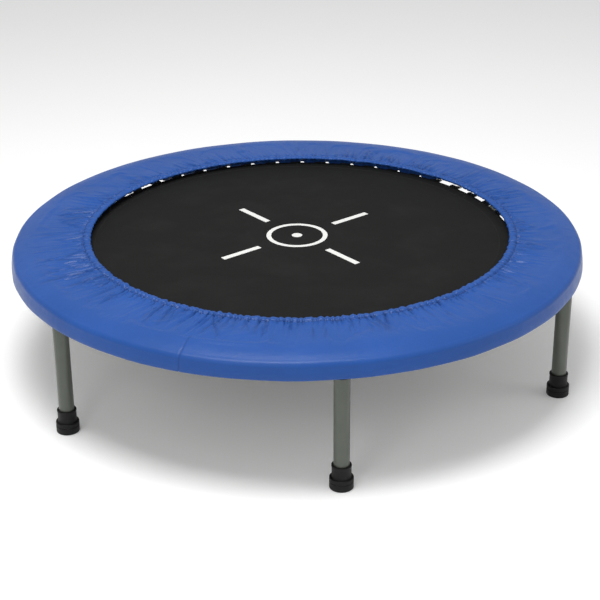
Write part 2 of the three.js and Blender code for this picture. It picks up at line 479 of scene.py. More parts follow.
# ---- material helpers ---------------------------------------------------------------------------
class Finish:
    """A material's nodes, with short ways to add and join them."""

    def __init__(self, name, colour, roughness, metallic=0.0):
        self.material = bpy.data.materials.new(name)
        self.material.use_nodes = True
        self.tree = self.material.node_tree
        self.shader = self.tree.nodes["Principled BSDF"]
        self.set(Metallic=metallic, Roughness=roughness)
        self.colour = tuple(colour) + (1.0,)
        self.shader.inputs["Base Color"].default_value = self.colour

    def set(self, **values):
        for name, value in values.items():
            self.shader.inputs[name.replace("_", " ")].default_value = value

    def node(self, kind, inputs=None, **settings):
        node = self.tree.nodes.new("ShaderNode" + kind)
        for name, value in settings.items():
            setattr(node, name, value)
        for name, value in (inputs or {}).items():
            if isinstance(value, bpy.types.NodeSocket):
                self.tree.links.new(value, node.inputs[name])
            else:
                node.inputs[name].default_value = value
        return node

    def link(self, socket, name):
        self.tree.links.new(socket, self.shader.inputs[name])

    def coordinates(self, kind="Object", scale=(1, 1, 1), turn=(0, 0, 0)):
        source = self.node("TexCoord").outputs[kind]
        mapping = self.node("Mapping", {"Vector": source, "Scale": scale, "Rotation": turn})
        return mapping.outputs["Vector"]

    def noise(self, vector, scale, detail=3.0, rough=0.55):
        values = {"Vector": vector, "Scale": scale, "Detail": detail, "Roughness": rough}
        return self.node("TexNoise", values).outputs["Fac"]

    def math(self, operation, a, b=0.0, clamp=False):
        node = self.node("Math", {0: a, 1: b}, operation=operation, use_clamp=clamp)
        return node.outputs["Value"]

    def span(self, value, low, high, new_low=0.0, new_high=1.0):
        """Maps a value from one span to another, held inside the new one."""
        values = {"Value": value, "From Min": low, "From Max": high,
                  "To Min": new_low, "To Max": new_high}
        return self.node("MapRange", values).outputs["Result"]

    def mix(self, share, first, second):
        values = {"Factor": share, "A": first, "B": second}
        node = self.tree.nodes.new("ShaderNodeMix")
        node.data_type = "RGBA"
        sockets = {"Factor": node.inputs[0], "A": node.inputs[6], "B": node.inputs[7]}
        for name, value in values.items():
            if isinstance(value, bpy.types.NodeSocket):
                self.tree.links.new(value, sockets[name])
            else:
                sockets[name].default_value = value
        return node.outputs[2]

    def shade(self, factor):
        """The base colour made lighter or darker by a factor."""
        return tuple(min(1.0, c * factor) for c in self.colour[:3]) + (1.0,)

    def threads(self, vector, pitch_u, pitch_v):
        """Height of a plain weave whose threads lie along the first two coordinates."""
        parts = self.node("SeparateXYZ", {"Vector": vector})
        along = self.math("SINE", self.math("MULTIPLY", parts.outputs["X"], math.pi / pitch_u))
        across = self.math("SINE", self.math("MULTIPLY", parts.outputs["Y"], math.pi / pitch_v))
        product = self.math("MULTIPLY", along, across)
        ribs = self.math("MAXIMUM", self.math("ABSOLUTE", along), self.math("ABSOLUTE", across))
        return self.math("ADD", self.math("MULTIPLY", product, 0.35), ribs)

    def bump(self, *layers):
        """Adds (height, depth in metres) layers of relief, each on top of the last."""
        normal = None
        for height, depth in layers:
            values = {"Height": height, "Strength": 1.0, "Distance": depth}
            if normal is not None:
                values["Normal"] = normal
            normal = self.node("Bump", values).outputs["Normal"]
        self.link(normal, "Normal")


def cover_cloth(settings):
    finish = Finish("coated cover cloth", settings.cloth, 0.45)
    place = finish.coordinates()
    cloth = finish.coordinates("UV")
    patches = finish.noise(place, 7, 3)
    grain = finish.noise(place, 900, 2)
    rub = finish.span(finish.noise(place, 26, 5, 0.6), 0.55, 0.85)
    crease_shade = finish.node("Attribute", attribute_name="crease_shade").outputs["Fac"]
    base = finish.mix(finish.span(patches, 0.3, 0.7), finish.shade(0.94), finish.shade(1.07))
    base = finish.mix(finish.math("MULTIPLY", rub, 0.12), base, finish.shade(1.35))
    base = finish.mix(finish.math("MULTIPLY", grain, 0.10), base, finish.shade(0.75))
    # Painted shade: darkens the cloth where the crease attribute marks the gathers' valleys and the
    # stitch line between puffs; the closing seam is darkened as well.
    base = finish.mix(finish.math("MULTIPLY", crease_shade, 0.75, True), base, finish.shade(0.4))
    finish.link(base, "Base Color")
    rough = finish.span(finish.noise(place, 60, 3), 0.3, 0.7, 0.30, 0.40)
    finish.link(rough, "Roughness")
    finish.set(**{"Specular_IOR_Level": 0.22})
    weave = finish.threads(cloth, 0.9 * MM, 0.9 * MM)
    crinkle = finish.noise(place, 85, 4, 0.5)
    finish.bump((crinkle, 0.5 * MM), (weave, 0.05 * MM))
    return finish.material


def mat_cloth(settings):
    finish = Finish("mat weave", settings.cloth, 0.62)
    place = finish.coordinates()
    weave = finish.threads(place, settings.weave, settings.weave)
    wear = finish.span(finish.noise(place, 9, 4, 0.6), 0.45, 0.8)
    lint = finish.span(finish.noise(place, 420, 2), 0.62, 0.8)
    slubs = finish.noise(finish.coordinates(scale=(40, 900, 1)), 1, 2)
    base = finish.mix(finish.span(weave, 0.5, 1.2), finish.shade(0.45), finish.shade(1.35))
    base = finish.mix(finish.math("MULTIPLY", wear, 0.15), base, finish.shade(1.7))
    base = finish.mix(finish.math("MULTIPLY", lint, 0.12), base, finish.shade(4.0))
    base = finish.mix(finish.math("MULTIPLY", slubs, 0.25), base, finish.shade(0.7))
    finish.link(base, "Base Color")
    finish.link(finish.span(wear, 0, 1, 0.66, 0.5), "Roughness")
    finish.set(**{"Specular_IOR_Level": 0.12})
    finish.bump((weave, 0.16 * MM), (slubs, 0.05 * MM))
    return finish.material


def mat_print(settings):
    finish = Finish("mat print", settings.print_colour, 0.55)
    place = finish.coordinates()
    weave = finish.threads(place, settings.weave, settings.weave)
    cracks = finish.span(finish.noise(place, 240, 4, 0.65), 0.60, 0.74)
    base = finish.mix(finish.math("MULTIPLY", cracks, 0.5), finish.colour, (0.25, 0.25, 0.24, 1))
    base = finish.mix(finish.span(weave, 0.3, 0.75, 0.25, 0.0), base, (0.3, 0.3, 0.29, 1))
    finish.link(base, "Base Color")
    finish.bump((weave, 0.12 * MM))
    return finish.material


def webbing_cloth(name, colour, pitch=2.2 * MM):
    finish = Finish(name, colour, 0.8)
    place = finish.coordinates()
    ribs = finish.threads(place, pitch, pitch * 0.6)
    fuzz = finish.noise(place, 700, 3)
    base = finish.mix(finish.span(ribs, 0.4, 1.2), finish.shade(0.5), finish.shade(1.3))
    base = finish.mix(finish.math("MULTIPLY", fuzz, 0.3), base, finish.shade(1.6))
    finish.link(base, "Base Color")
    finish.bump((ribs, 0.25 * MM), (fuzz, 0.08 * MM))
    return finish.material


def thread(name, colour):
    finish = Finish(name, colour, 0.6)
    place = finish.coordinates()
    twist = finish.noise(place, 1600, 2)
    finish.link(finish.mix(twist, finish.shade(0.6), finish.shade(1.25)), "Base Color")
    finish.bump((twist, 0.15 * MM))
    return finish.material


def tube_paint(settings):
    finish = Finish("grey-green powder coat", settings.paint, 0.36, 0.25)
    place = finish.coordinates()
    orange_peel = finish.noise(place, 650, 2)
    cloud = finish.noise(place, 16, 4)
    scratch = finish.noise(finish.coordinates(scale=(260, 260, 9)), 1, 4, 0.7)
    scratch = finish.span(scratch, 0.66, 0.72)
    chips = finish.span(finish.noise(place, 120, 5, 0.7), 0.70, 0.74)
    base = finish.mix(finish.span(cloud, 0.3, 0.7), finish.shade(0.88), finish.shade(1.12))
    base = finish.mix(finish.math("MULTIPLY", scratch, 0.35), base, finish.shade(1.9))
    base = finish.mix(finish.math("MULTIPLY", chips, 0.4), base, (0.2, 0.19, 0.18, 1))
    finish.link(base, "Base Color")
    finish.link(finish.span(cloud, 0.3, 0.7, 0.32, 0.42), "Roughness")
    finish.set(**{"Coat_Weight": 0.15, "Coat_Roughness": 0.2})
    finish.bump((orange_peel, 0.03 * MM), (scratch, -0.03 * MM))
    return finish.material


def plated_steel(settings):
    finish = Finish("zinc plated steel", settings.steel, 0.32, 1.0)
    place = finish.coordinates()
    spangle = finish.noise(place, 320, 3)
    tarnish = finish.span(finish.noise(place, 45, 4, 0.6), 0.55, 0.8)
    base = finish.mix(spangle, finish.shade(0.85), finish.shade(1.12))
    base = finish.mix(finish.math("MULTIPLY", tarnish, 0.4), base, (0.30, 0.27, 0.22, 1))
    finish.link(base, "Base Color")
    finish.link(finish.span(tarnish, 0, 1, 0.26, 0.5), "Roughness")
    finish.bump((spangle, 0.02 * MM))
    return finish.material


def foot_rubber(settings):
    finish = Finish("moulded rubber", settings.rubber, 0.62)
    place = finish.coordinates()
    grain = finish.noise(place, 900, 3)
    dust = finish.span(finish.noise(place, 55, 5, 0.65), 0.5, 0.85)
    base = finish.mix(finish.math("MULTIPLY", dust, 0.2), finish.colour, (0.04, 0.038, 0.036, 1))
    finish.link(base, "Base Color")
    finish.link(finish.span(dust, 0, 1, 0.5, 0.78), "Roughness")
    finish.set(**{"Specular_IOR_Level": 0.25})
    finish.bump((grain, 0.06 * MM))
    return finish.material


def foam_cells():
    finish = Finish("closed-cell foam", (0.74, 0.73, 0.68), 0.85)
    place = finish.coordinates()
    cells = finish.node("TexVoronoi", {"Vector": place, "Scale": 700.0}).outputs["Distance"]
    cloud = finish.noise(place, 30, 4)
    finish.link(finish.mix(cloud, finish.shade(0.86), finish.shade(1.05)), "Base Color")
    finish.bump((cells, 0.3 * MM))
    return finish.material


def stage_paint(name, colour):
    finish = Finish(name, colour, 0.9)
    cloud = finish.noise(finish.coordinates(), 3, 2)
    finish.link(finish.mix(cloud, finish.shade(0.99), finish.shade(1.01)), "Base Color")
    finish.set(**{"Specular_IOR_Level": 0.1, "Emission_Color": (1, 1, 1, 1)})
    finish.set(**{"Emission_Strength": 0.12})
    return finish.material


_finishes = {}


def finish_for(name, make, *values):
    """Each material is made once and shared."""
    if name not in _finishes:
        _finishes[name] = make(*values)
    return _finishes[name]


# ---- frame --------------------------------------------------------------------------------------
def thread_helix(radius, pitch, low, high):
    """A ridge wound round an upright screw from low to high."""
    per_turn = 16
    depth = 0.61 * pitch
    profile = [(radius - depth, 0.0), (radius, 0.38 * pitch), (radius, 0.5 * pitch),
               (radius - depth, 0.88 * pitch)]
    bm = bmesh.new()
    verts = [bm.verts.new((r, 0, low + z)) for r, z in profile]
    edges = [bm.edges.new(pair) for pair in zip(verts, verts[1:] + verts[:1])]
    turns = (high - low) / pitch - 1
    steps = int(turns * per_turn)
    end = bmesh.ops.spin(
        bm, geom=verts + edges, cent=(0, 0, 0), axis=(0, 0, 1), dvec=(0, 0, pitch / per_turn),
        angle=TURN * steps / per_turn, steps=steps, use_merge=False,
    )["geom_last"]
    bmesh.ops.contextual_create(bm, geom=[e for e in end if isinstance(e, bmesh.types.BMEdge)])
    bmesh.ops.contextual_create(bm, geom=edges)
    return tidy_solid(bm)


def leg_seat(settings, height):
    """The boss that a leg is screwed up against, with its weld, and the threaded stud under it."""
    seat_radius, seat_low = 11 * MM, LEG_TOP + 0.3 * MM
    tube_low = height - settings.tube_radius
    boss = turned([
        (0, seat_low), (seat_radius - 0.8 * MM, seat_low), (seat_radius, seat_low + 0.8 * MM),
        (seat_radius, tube_low - 0.5 * MM), (seat_radius + 1.2 * MM, tube_low + 1.6 * MM),
        (seat_radius + 0.6 * MM, tube_low + 4 * MM), (0, tube_low + 4 * MM),
    ], 40, closed=False)
    core = settings.stud_radius - 0.61 * settings.thread_pitch
    tip = 1.2 * MM
    shank = turned([
        (0, STUD_LOW), (core - tip, STUD_LOW), (core, STUD_LOW + tip), (core, seat_low + 1 * MM),
        (0, seat_low + 1 * MM),
    ], 24, closed=False)
    ridge = thread_helix(settings.stud_radius, settings.thread_pitch, STUD_LOW + tip, seat_low)
    return joined(boss, shank, ridge)


def build_frame(settings):
    height = FRAME_TOP - settings.tube_radius
    paint = finish_for("paint", tube_paint, settings)
    section = arc((LEG_CIRCLE, height), settings.tube_radius, 0, 345, 23)
    tube = piece("frame_tube", turned(section, 240), paint)
    towards = Vector((LEG_CIRCLE - TUBE_HOLE, 0, height - SPRING_HEIGHT)).normalized()
    mouth = Vector((TUBE_HOLE, 0, SPRING_HEIGHT))
    turn = Vector((0, 0, 1)).rotation_difference(towards).to_matrix().to_4x4()
    cutter = bmesh.new()
    bmesh.ops.create_cone(
        cutter, cap_ends=True, segments=12, radius1=settings.hole_radius,
        radius2=settings.hole_radius, depth=8 * MM, matrix=Matrix.Translation(mouth) @ turn,
    )
    copies_round(cutter, SPRING_COUNT)
    cut_away(tube, cutter)
    seats = bmesh.new()
    for leg in range(1, LEG_COUNT + 1):
        spin = Matrix.Rotation(leg_angle(leg), 4, "Z") @ Matrix.Translation((LEG_CIRCLE, 0, 0))
        joined(seats, moved(leg_seat(settings, height), spin))
    base = bmesh.new()
    base.from_mesh(tube.data)
    bpy.data.objects.remove(tube)
    ring = piece("round_tube_frame", joined(base, seats), paint)
    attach(ring, "frame")
    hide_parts("frame_ring")


# ---- springs ------------------------------------------------------------------------------------
def spring_path(settings):
    """The line of one spring's wire along +X: eye, coils, and the hook inside the frame tube."""
    wire_radius, radius = settings.wire_radius, settings.coil_radius
    eye_radius = 3.4 * MM
    eye_centre = SPRING_START + wire_radius + eye_radius
    eye = [
        Vector((eye_centre + eye_radius * math.cos(a), 0, eye_radius * math.sin(a)))
        for a in np.radians(np.linspace(-40, -335, 16))
    ]
    coil_start = eye_centre + eye_radius + 4.5 * MM
    coil_end = TUBE_HOLE - 7.5 * MM
    per_turn = 12
    turns = round((coil_end - coil_start) / settings.coil_pitch)
    steps = turns * per_turn
    coils = []
    for step in range(steps + 1):
        share = step / steps
        angle = TURN * step / per_turn
        ease = min(1, step / (0.5 * per_turn), (steps - step) / (0.5 * per_turn))
        x = coil_start + (coil_end - coil_start) * share
        coils.append(Vector((x, radius * ease * math.sin(angle), radius * ease * math.cos(angle))))
    inside = TUBE_HOLE + HOOK_REACH - wire_radius
    lead_in = corner_cut(eye[-3:] + [Vector((eye_centre + eye_radius + 2 * MM, 0, 0)), coils[0]], 2)
    hook = corner_cut([coils[-1], Vector((inside, 0, 0)), Vector((inside, 0, -5 * MM))], 3)
    line = eye[:-3] + lead_in + coils[1:-1] + hook
    return [point + Vector((0, 0, SPRING_HEIGHT)) for point in line]


def triangle_ring(settings):
    """The bent wire ring that joins a spring's eye to the webbing at the mat's edge."""
    base = MAT_RADIUS - 6 * MM
    tip = SPRING_START + 2 * settings.wire_radius + settings.ring_wire_radius
    half = 11 * MM
    corners = [Vector((base, -half, 0)), Vector((tip, -1.6 * MM, 0)),
               Vector((tip, 1.6 * MM, 0)), Vector((base, half, 0))]
    line = corner_cut(corners, 3, closed=True)
    line = [point + Vector((0, 0, SPRING_HEIGHT)) for point in line]
    return wire(line, settings.ring_wire_radius, 8, closed=True)


def build_springs(settings):
    steel = finish_for("steel", plated_steel, settings)
    one = wire(spring_path(settings), settings.wire_radius, 6)
    mesh = bpy.data.meshes.new("spring")
    one.to_mesh(mesh)
    one.free()
    for place in range(SPRING_COUNT):
        turn = Matrix.Rotation(spring_angle(place), 4, "Z")
        copy = mesh.copy()
        copy.transform(turn)
        number = "%02d" % (place + 1)
        spring = dressed("coil_spring_" + number, copy, steel, 60)
        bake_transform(spring)
        if "spring_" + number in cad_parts:
            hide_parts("spring_" + number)
    bpy.data.meshes.remove(mesh)
    rings = copies_round(moved(triangle_ring(settings), Matrix.Rotation(spring_angle(0), 4, "Z")),
                         SPRING_COUNT)
    rings = piece("triangle_rings", rings, steel, 60)
    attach(rings, "mat")


# ---- mat ----------------------------------------------------------------------------------------
def stitch(length, width, height):
    """One raised stitch along +Y, as a small flattened bead."""
    bm = bmesh.new()
    bmesh.ops.create_uvsphere(
        bm, u_segments=6, v_segments=4, radius=0.5,
        matrix=Matrix.Diagonal((width, length, height, 1)),
    )
    return bm


def stitch_row(radius, height, spacing, length=3.2 * MM):
    """A round row of stitches about the Z axis."""
    bm = moved(stitch(length, 0.9 * MM, 0.7 * MM), Matrix.Translation((radius, 0, height)))
    return copies_round(bm, int(TURN * radius / spacing))


def webbing_loop():
    """The folded tab of webbing that holds one triangle ring under the mat's edge."""
    length, width, thickness = 21 * MM, 15 * MM, 1.4 * MM
    middle = MAT_RADIUS - 2.5 * MM - length / 2
    bm = bmesh.new()
    place = Matrix.Translation((middle, 0, WEBBING_LOW - thickness / 2))
    bmesh.ops.create_cube(bm, size=1, matrix=place @ Matrix.Diagonal((length, width, thickness, 1)))
    roll = bmesh.new()
    place = Matrix.Translation((MAT_RADIUS - 6 * MM, 0, SPRING_HEIGHT - 0.4 * MM))
    bmesh.ops.create_cone(
        roll, cap_ends=True, segments=14, radius1=2.3 * MM, radius2=2.3 * MM, depth=width,
        matrix=place @ Matrix.Rotation(math.pi / 2, 4, "X"),
    )
    strap = bmesh.new()
    place = Matrix.Translation((MAT_RADIUS + 3.7 * MM, 0, MAT_TOP))
    bmesh.ops.create_cube(
        strap, size=1, matrix=place @ Matrix.Diagonal((7 * MM, 21 * MM, 2.2 * MM, 1)),
    )
    for shape in (bm, roll, strap):
        edges = [e for e in shape.edges if e.calc_face_angle(0) > 1]
        bmesh.ops.bevel(
            shape, geom=edges, offset=0.4 * MM, segments=2, profile=0.5, material=-1,
            affect="EDGES",
        )
    return joined(bm, roll, strap)


def build_mat(settings):
    cloth = finish_for("mat", mat_cloth, settings)
    edge = 0.4 * MM
    rows = [MAT_RADIUS * share for share in (0.25, 0.5, 0.75)]
    section = [(0, MAT_LOW)] + [(r, MAT_LOW) for r in rows]
    section += [(MAT_RADIUS - edge, MAT_LOW), (MAT_RADIUS, MAT_LOW + edge),
                (MAT_RADIUS, MAT_TOP - edge), (MAT_RADIUS - edge, MAT_TOP)]
    section += [(r, MAT_TOP) for r in reversed(rows)] + [(0, MAT_TOP)]
    mat = piece("stretched_mat", turned(section, 192, closed=False), cloth)
    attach(mat, "mat")
    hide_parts("jumping_mat")
    webbing = finish_for("webbing", webbing_cloth, "black webbing", (0.011, 0.011, 0.0115))
    points = [(WEBBING_INNER, WEBBING_LOW), (WEBBING_OUTER, WEBBING_LOW),
              (WEBBING_OUTER, WEBBING_HIGH), (WEBBING_INNER, WEBBING_HIGH)]
    band = piece("edge_webbing", turned(rounded_section(points, [0.5 * MM] * 4), 192), webbing)
    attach(band, "mat")
    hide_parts("mat_edge_webbing")
    loops = moved(webbing_loop(), Matrix.Rotation(spring_angle(0), 4, "Z"))
    loops = piece("ring_loops", copies_round(loops, SPRING_COUNT), webbing)
    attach(loops, "mat")
    sewn = finish_for("mat thread", thread, "mat thread", (0.012, 0.012, 0.012))
    inner, outer = WEBBING_INNER + 3 * MM, WEBBING_OUTER - 3 * MM
    rows = [stitch_row(r, z, 5 * MM) for r in (inner, outer) for z in (MAT_TOP, WEBBING_LOW)]
    stitches = piece("mat_stitching", joined(*rows), sewn)
    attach(stitches, "mat")


def flat_bar(start, end, width, thickness):
    bm = bmesh.new()
    size = Matrix.Diagonal((end - start, width, thickness, 1))
    middle = Matrix.Translation(((start + end) / 2, 0, 0))
    bmesh.ops.create_cube(bm, size=1, matrix=middle @ size)
    return bm


def build_print(settings):
    ink = finish_for("print", mat_print, settings)
    thickness = 0.3 * MM
    bars = flat_bar(settings.bar_start, settings.bar_end, settings.bar_width, thickness)
    copies_round(bars, 4)
    moved(bars, Matrix.Rotation(settings.print_turn, 4, "Z"))
    ring_inner, ring_outer, dot = 45 * MM, 53 * MM, 9 * MM
    half = thickness / 2
    ring = turned([(ring_inner, -half), (ring_outer, -half), (ring_outer, half),
                   (ring_inner, half)], 96)
    middle = turned([(0, -half), (dot, -half), (dot, half), (0, half)], 48, closed=False)
    shape = moved(joined(bars, ring, middle), Matrix.Translation((0, 0, MAT_TOP)))
    printed = piece("mat_print", shape, ink)
    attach(printed, "mat")


# ---- cover --------------------------------------------------------------------------------------
EDGE_FALL = 4 * MM
SETTLE_OUT = COVER_RADIUS - 30 * MM
SETTLE_FRAMES = 10
SETTLE_SIDEWAYS = 0.6      # share of the cloth's level movement that is kept
FULLNESS_FADE = 1.3        # how quickly the extra width dies out from the stitch line


def read_points(mesh):
    co = np.zeros(len(mesh.vertices) * 3)
    mesh.vertices.foreach_get("co", co)
    return co.reshape(-1, 3)


def turn_between(angle, centre):
    """The signed turn from centre to each angle, at most half a turn."""
    return (angle - centre + math.pi) % TURN - math.pi


def oval(centre, wide, high, start, end, steps):
    """Points on an oval in degrees, about a (radius, height) centre."""
    angles = np.radians(np.linspace(start, end, steps + 1))
    return [(centre[0] + wide * math.cos(a), centre[1] + high * math.sin(a)) for a in angles]


def stitch_radius(settings):
    return HEM_RADIUS + settings.channel_width


def edge_centre(settings):
    """Middle of the round edge between the top and the skirt, as (radius, height)."""
    return COVER_RADIUS - settings.edge_width, COVER_FLAT - EDGE_FALL - settings.edge_height


def cover_outline(settings):
    """The cover's outer face as (radius, height) points, from the sewn lip under the elastic round
    the channel, over the top and down the skirt; and the place of the stitch line in that list."""
    seam = stitch_radius(settings)
    centre = (seam - settings.channel_width / 2, ELASTIC_MIDDLE + 0.2 * MM)
    high = COVER_HIGH - 0.4 * MM - centre[1]
    points = [(seam + 1 * MM, COVER_FLAT - 1.7 * MM)]
    points += oval(centre, settings.channel_width / 2, high, -60, -300, 16)
    points += [(seam - 1.4 * MM, COVER_FLAT + 2.1 * MM), (seam, COVER_FLAT + 0.4 * MM),
               (seam + 1.6 * MM, COVER_FLAT + 0.8 * MM), (seam + 4 * MM, COVER_FLAT + 1.5 * MM)]
    stitch_index = len(points) - 3
    start, crown = points[-1]
    outer, top = edge_centre(settings)
    for share in np.linspace(0, 1, 29)[1:]:
        share = 1 - (1 - share) ** 1.15
        fall = 0.5 - 0.5 * math.cos(math.pi * min(1, share / 0.9))
        slope = EDGE_FALL * max(0, (share - 0.7) / 0.3) ** 2
        points.append((start + (outer - start) * share,
                       crown + (COVER_FLAT - crown) * fall - slope))
    points += oval((outer, top), settings.edge_width, settings.edge_height, 90, 0, 9)[1:]
    for share in np.linspace(0, 1, 7)[1:]:
        bulge = settings.flare * math.sin(share * math.pi / 2)
        points.append((COVER_RADIUS + bulge, top + (COVER_LOW + 1.2 * MM - top) * share))
    edge = COVER_RADIUS + settings.flare
    points += [(edge - 0.8 * MM, COVER_LOW + 0.2 * MM), (edge - 2.2 * MM, COVER_LOW)]
    return points, stitch_index


def cover_lining(settings, points, stitch_index):
    """The cover's inner face, from the skirt's edge up, in over the foam and round the elastic."""
    wall = settings.wall
    outer, low = edge_centre(settings)
    seam = stitch_radius(settings)
    edge = COVER_RADIUS + settings.flare
    width, height = settings.edge_width - wall, settings.edge_height - wall
    lining = [(edge - 2.2 * MM, COVER_LOW + wall), (edge - wall, COVER_LOW + wall),
              (COVER_RADIUS - wall + settings.flare * 0.7, low - 12 * MM),
              *oval((outer, low), width, height, 0, 90, 5)]
    top = np.array(points[stitch_index:stitch_index + 31])
    for out in (100, 90, 78, 66, 52, 40, 31, 24, 18, 13, 9, 5.5, 3, 1):
        radius = seam + out * MM
        lining.append((radius, np.interp(radius, top[:, 0], top[:, 1]) - wall))
    elastic = ((ELASTIC_INNER + ELASTIC_OUTER) / 2, ELASTIC_MIDDLE)
    wide = (ELASTIC_OUTER - ELASTIC_INNER) / 2 + 0.6 * MM
    lining += oval(elastic, wide, 1.1 * MM, 25, 335, 8)
    return lining + [(seam + 1 * MM, COVER_FLAT - 0.9 * MM)]


def swells(angle, out, seed, count, low, high):
    """Smooth waves round the ring: a sum of sines with wave numbers from low to high."""
    random = np.random.default_rng(seed)
    total = np.zeros_like(angle)
    for _ in range(count):
        number = random.integers(low, high)
        shift, twist = random.uniform(0, TURN), random.normal(0, 28)
        total += np.sin(number * angle + shift + twist * out)
    return total / math.sqrt(count)


def puffs(starts, angle):
    """Height from 0 to 1 of the round puffs that fill the room between neighbouring gathers."""
    edges = np.sort(starts % TURN)
    place = np.searchsorted(edges, angle % TURN)
    left, right = edges[place - 1], edges[place % len(edges)]
    width = (right - left) % TURN
    share = ((angle - left) % TURN) / width
    full = np.minimum(1.4, width / (TURN / len(edges))) ** 0.7
    return (4 * share * (1 - share)).clip(0, 1) ** 0.55 * full


def gathers(settings, angle, out):
    """Relief of the gathered cloth in metres by angle and distance out from the stitch line, and the
    painted shade from 0 to 1 at each point, deepest in the gathers' valleys."""
    random = np.random.default_rng(7)
    count, extra = settings.creases, settings.creases
    first = (np.arange(count) + random.uniform(-0.42, 0.42, count)) * TURN / count
    where = np.concatenate([first, random.uniform(0, TURN, extra)])
    strength = np.concatenate([random.beta(1.4, 1.7, count), random.uniform(0.1, 0.5, extra)])
    begins = np.concatenate([np.zeros(count), random.uniform(2, 26, extra)]) * MM
    swell = 0.75 + 0.25 * np.sin(3 * where + 1.2) * np.sin(5 * where)
    depth = settings.crease_depth * (0.22 + 0.78 * strength) * swell
    depth[count:] *= 0.75
    reach = settings.crease_length * (0.42 + 0.58 * strength) * swell
    reach *= 1 + 0.5 * np.exp(-(turn_between(where, math.pi) / 0.55) ** 2)
    slant = random.normal(0.10, 0.17, count + extra)
    bend = random.normal(0, 1.5, count + extra)
    width = random.uniform(1.1, 2.0, count + extra) * MM
    run = np.maximum(out, 0)
    puff = puffs(first, angle)
    relief = settings.puff * (puff - 0.5) * np.exp(-run / (11 * MM))
    # Painted shade, 0 to 1: darkest between the puffs close to the stitch line; each gather's valley
    # adds its own below.
    fold_shade = (1 - puff).clip(0, 1) ** 2 * 0.6 * np.exp(-run / (6 * MM))
    for i in range(count + extra):
        across = turn_between(angle, where[i])
        near = (np.abs(across) < 0.11) & (out > begins[i] - 6 * MM)
        past = np.maximum(run[near] - begins[i], 0)
        across = across[near] * (stitch_radius(settings) + out[near])
        across -= slant[i] * run[near] + bend[i] * run[near] ** 2
        wide = width[i] * (1 + 0.02 * past / MM)
        fade = np.clip(1 - past / reach[i], 0, 1) ** 0.8
        if begins[i]:
            fade *= np.clip((run[near] - begins[i]) / (6 * MM) + 1, 0, 1)
        offset = across / wide
        valley = np.exp(-np.abs(offset) ** 1.4)
        ridge = np.exp(-(np.abs(offset) - 2.1) ** 2 / 1.1)
        relief[near] += depth[i] * fade * (0.5 * ridge - valley)
        # Painted shade along this gather's valley, fading outwards.
        shade = valley * fade ** 0.6 * (0.3 + 0.7 * strength[i])
        fold_shade[near] = np.maximum(fold_shade[near], shade)
    return relief, fold_shade, puff


def slack_share(settings, angle):
    """1 where the hem is slack, falling to 0 at the ends of the slack span."""
    away = np.abs(turn_between(angle, settings.slack_angle))
    share = np.clip((settings.slack_span - away) / math.radians(8), 0, 1)
    return share * share * (3 - 2 * share)


def lip_floor(angle):
    """Height of the slack lip's lower edge: down to the mat, and up over each ring strap."""
    pitch = TURN / SPRING_COUNT
    away = np.abs(turn_between((angle - spring_angle(0)) % pitch, pitch / 2))
    strap = np.clip((away - pitch / 2) * MAT_RADIUS / (1.5 * MM) + 8.4, 0, 1)
    return MAT_TOP - 0.9 * MM + strap * 2.4 * MM


def hem_sag(settings, angle):
    """How far the hem hangs below its even height, in slow waves and most on its slack side."""
    flutter = swells(angle, 0, 23, 8, 14, 60)
    return settings.sag * slack_share(settings, angle) + 0.35 * MM * flutter


def lay_hem(settings, co):
    """Moves the points near the hem with it, as it hangs down and is pulled off centre."""
    angle = np.arctan2(co[:, 1], co[:, 0])
    out = np.hypot(co[:, 0], co[:, 1]) - stitch_radius(settings)
    co[:, 2] -= hem_sag(settings, angle) * np.clip(1 - out / (14 * MM), 0, 1) ** 1.5
    pull = settings.hem_offset * np.clip(1 - out / (75 * MM), 0, 1) ** 1.3
    co[:, 0] += pull * math.cos(settings.hem_side)
    co[:, 1] += pull * math.sin(settings.hem_side)
    return co


def lay_edge(settings, co):
    """Lowers the pad towards its outer edge, most on the side away from the slack."""
    angle = np.arctan2(co[:, 1], co[:, 0])
    share = np.clip((np.hypot(co[:, 0], co[:, 1]) - COVER_RADIUS) / (48 * MM) + 1, 0, 1)
    upper = np.clip((co[:, 2] - COVER_LOW) / (edge_centre(settings)[1] - COVER_LOW), 0, 1)
    front = 0.5 - 0.5 * np.cos(turn_between(angle, settings.slack_angle))
    co[:, 2] -= settings.front_slope * share ** 1.6 * upper * front
    return co


def ring_order(settings, row, angle):
    """Order that sorts points by row, and in each row by their place round the ring."""
    place = np.round(angle / TURN * settings.steps).astype(int) % settings.steps
    return np.lexsort((place, row))


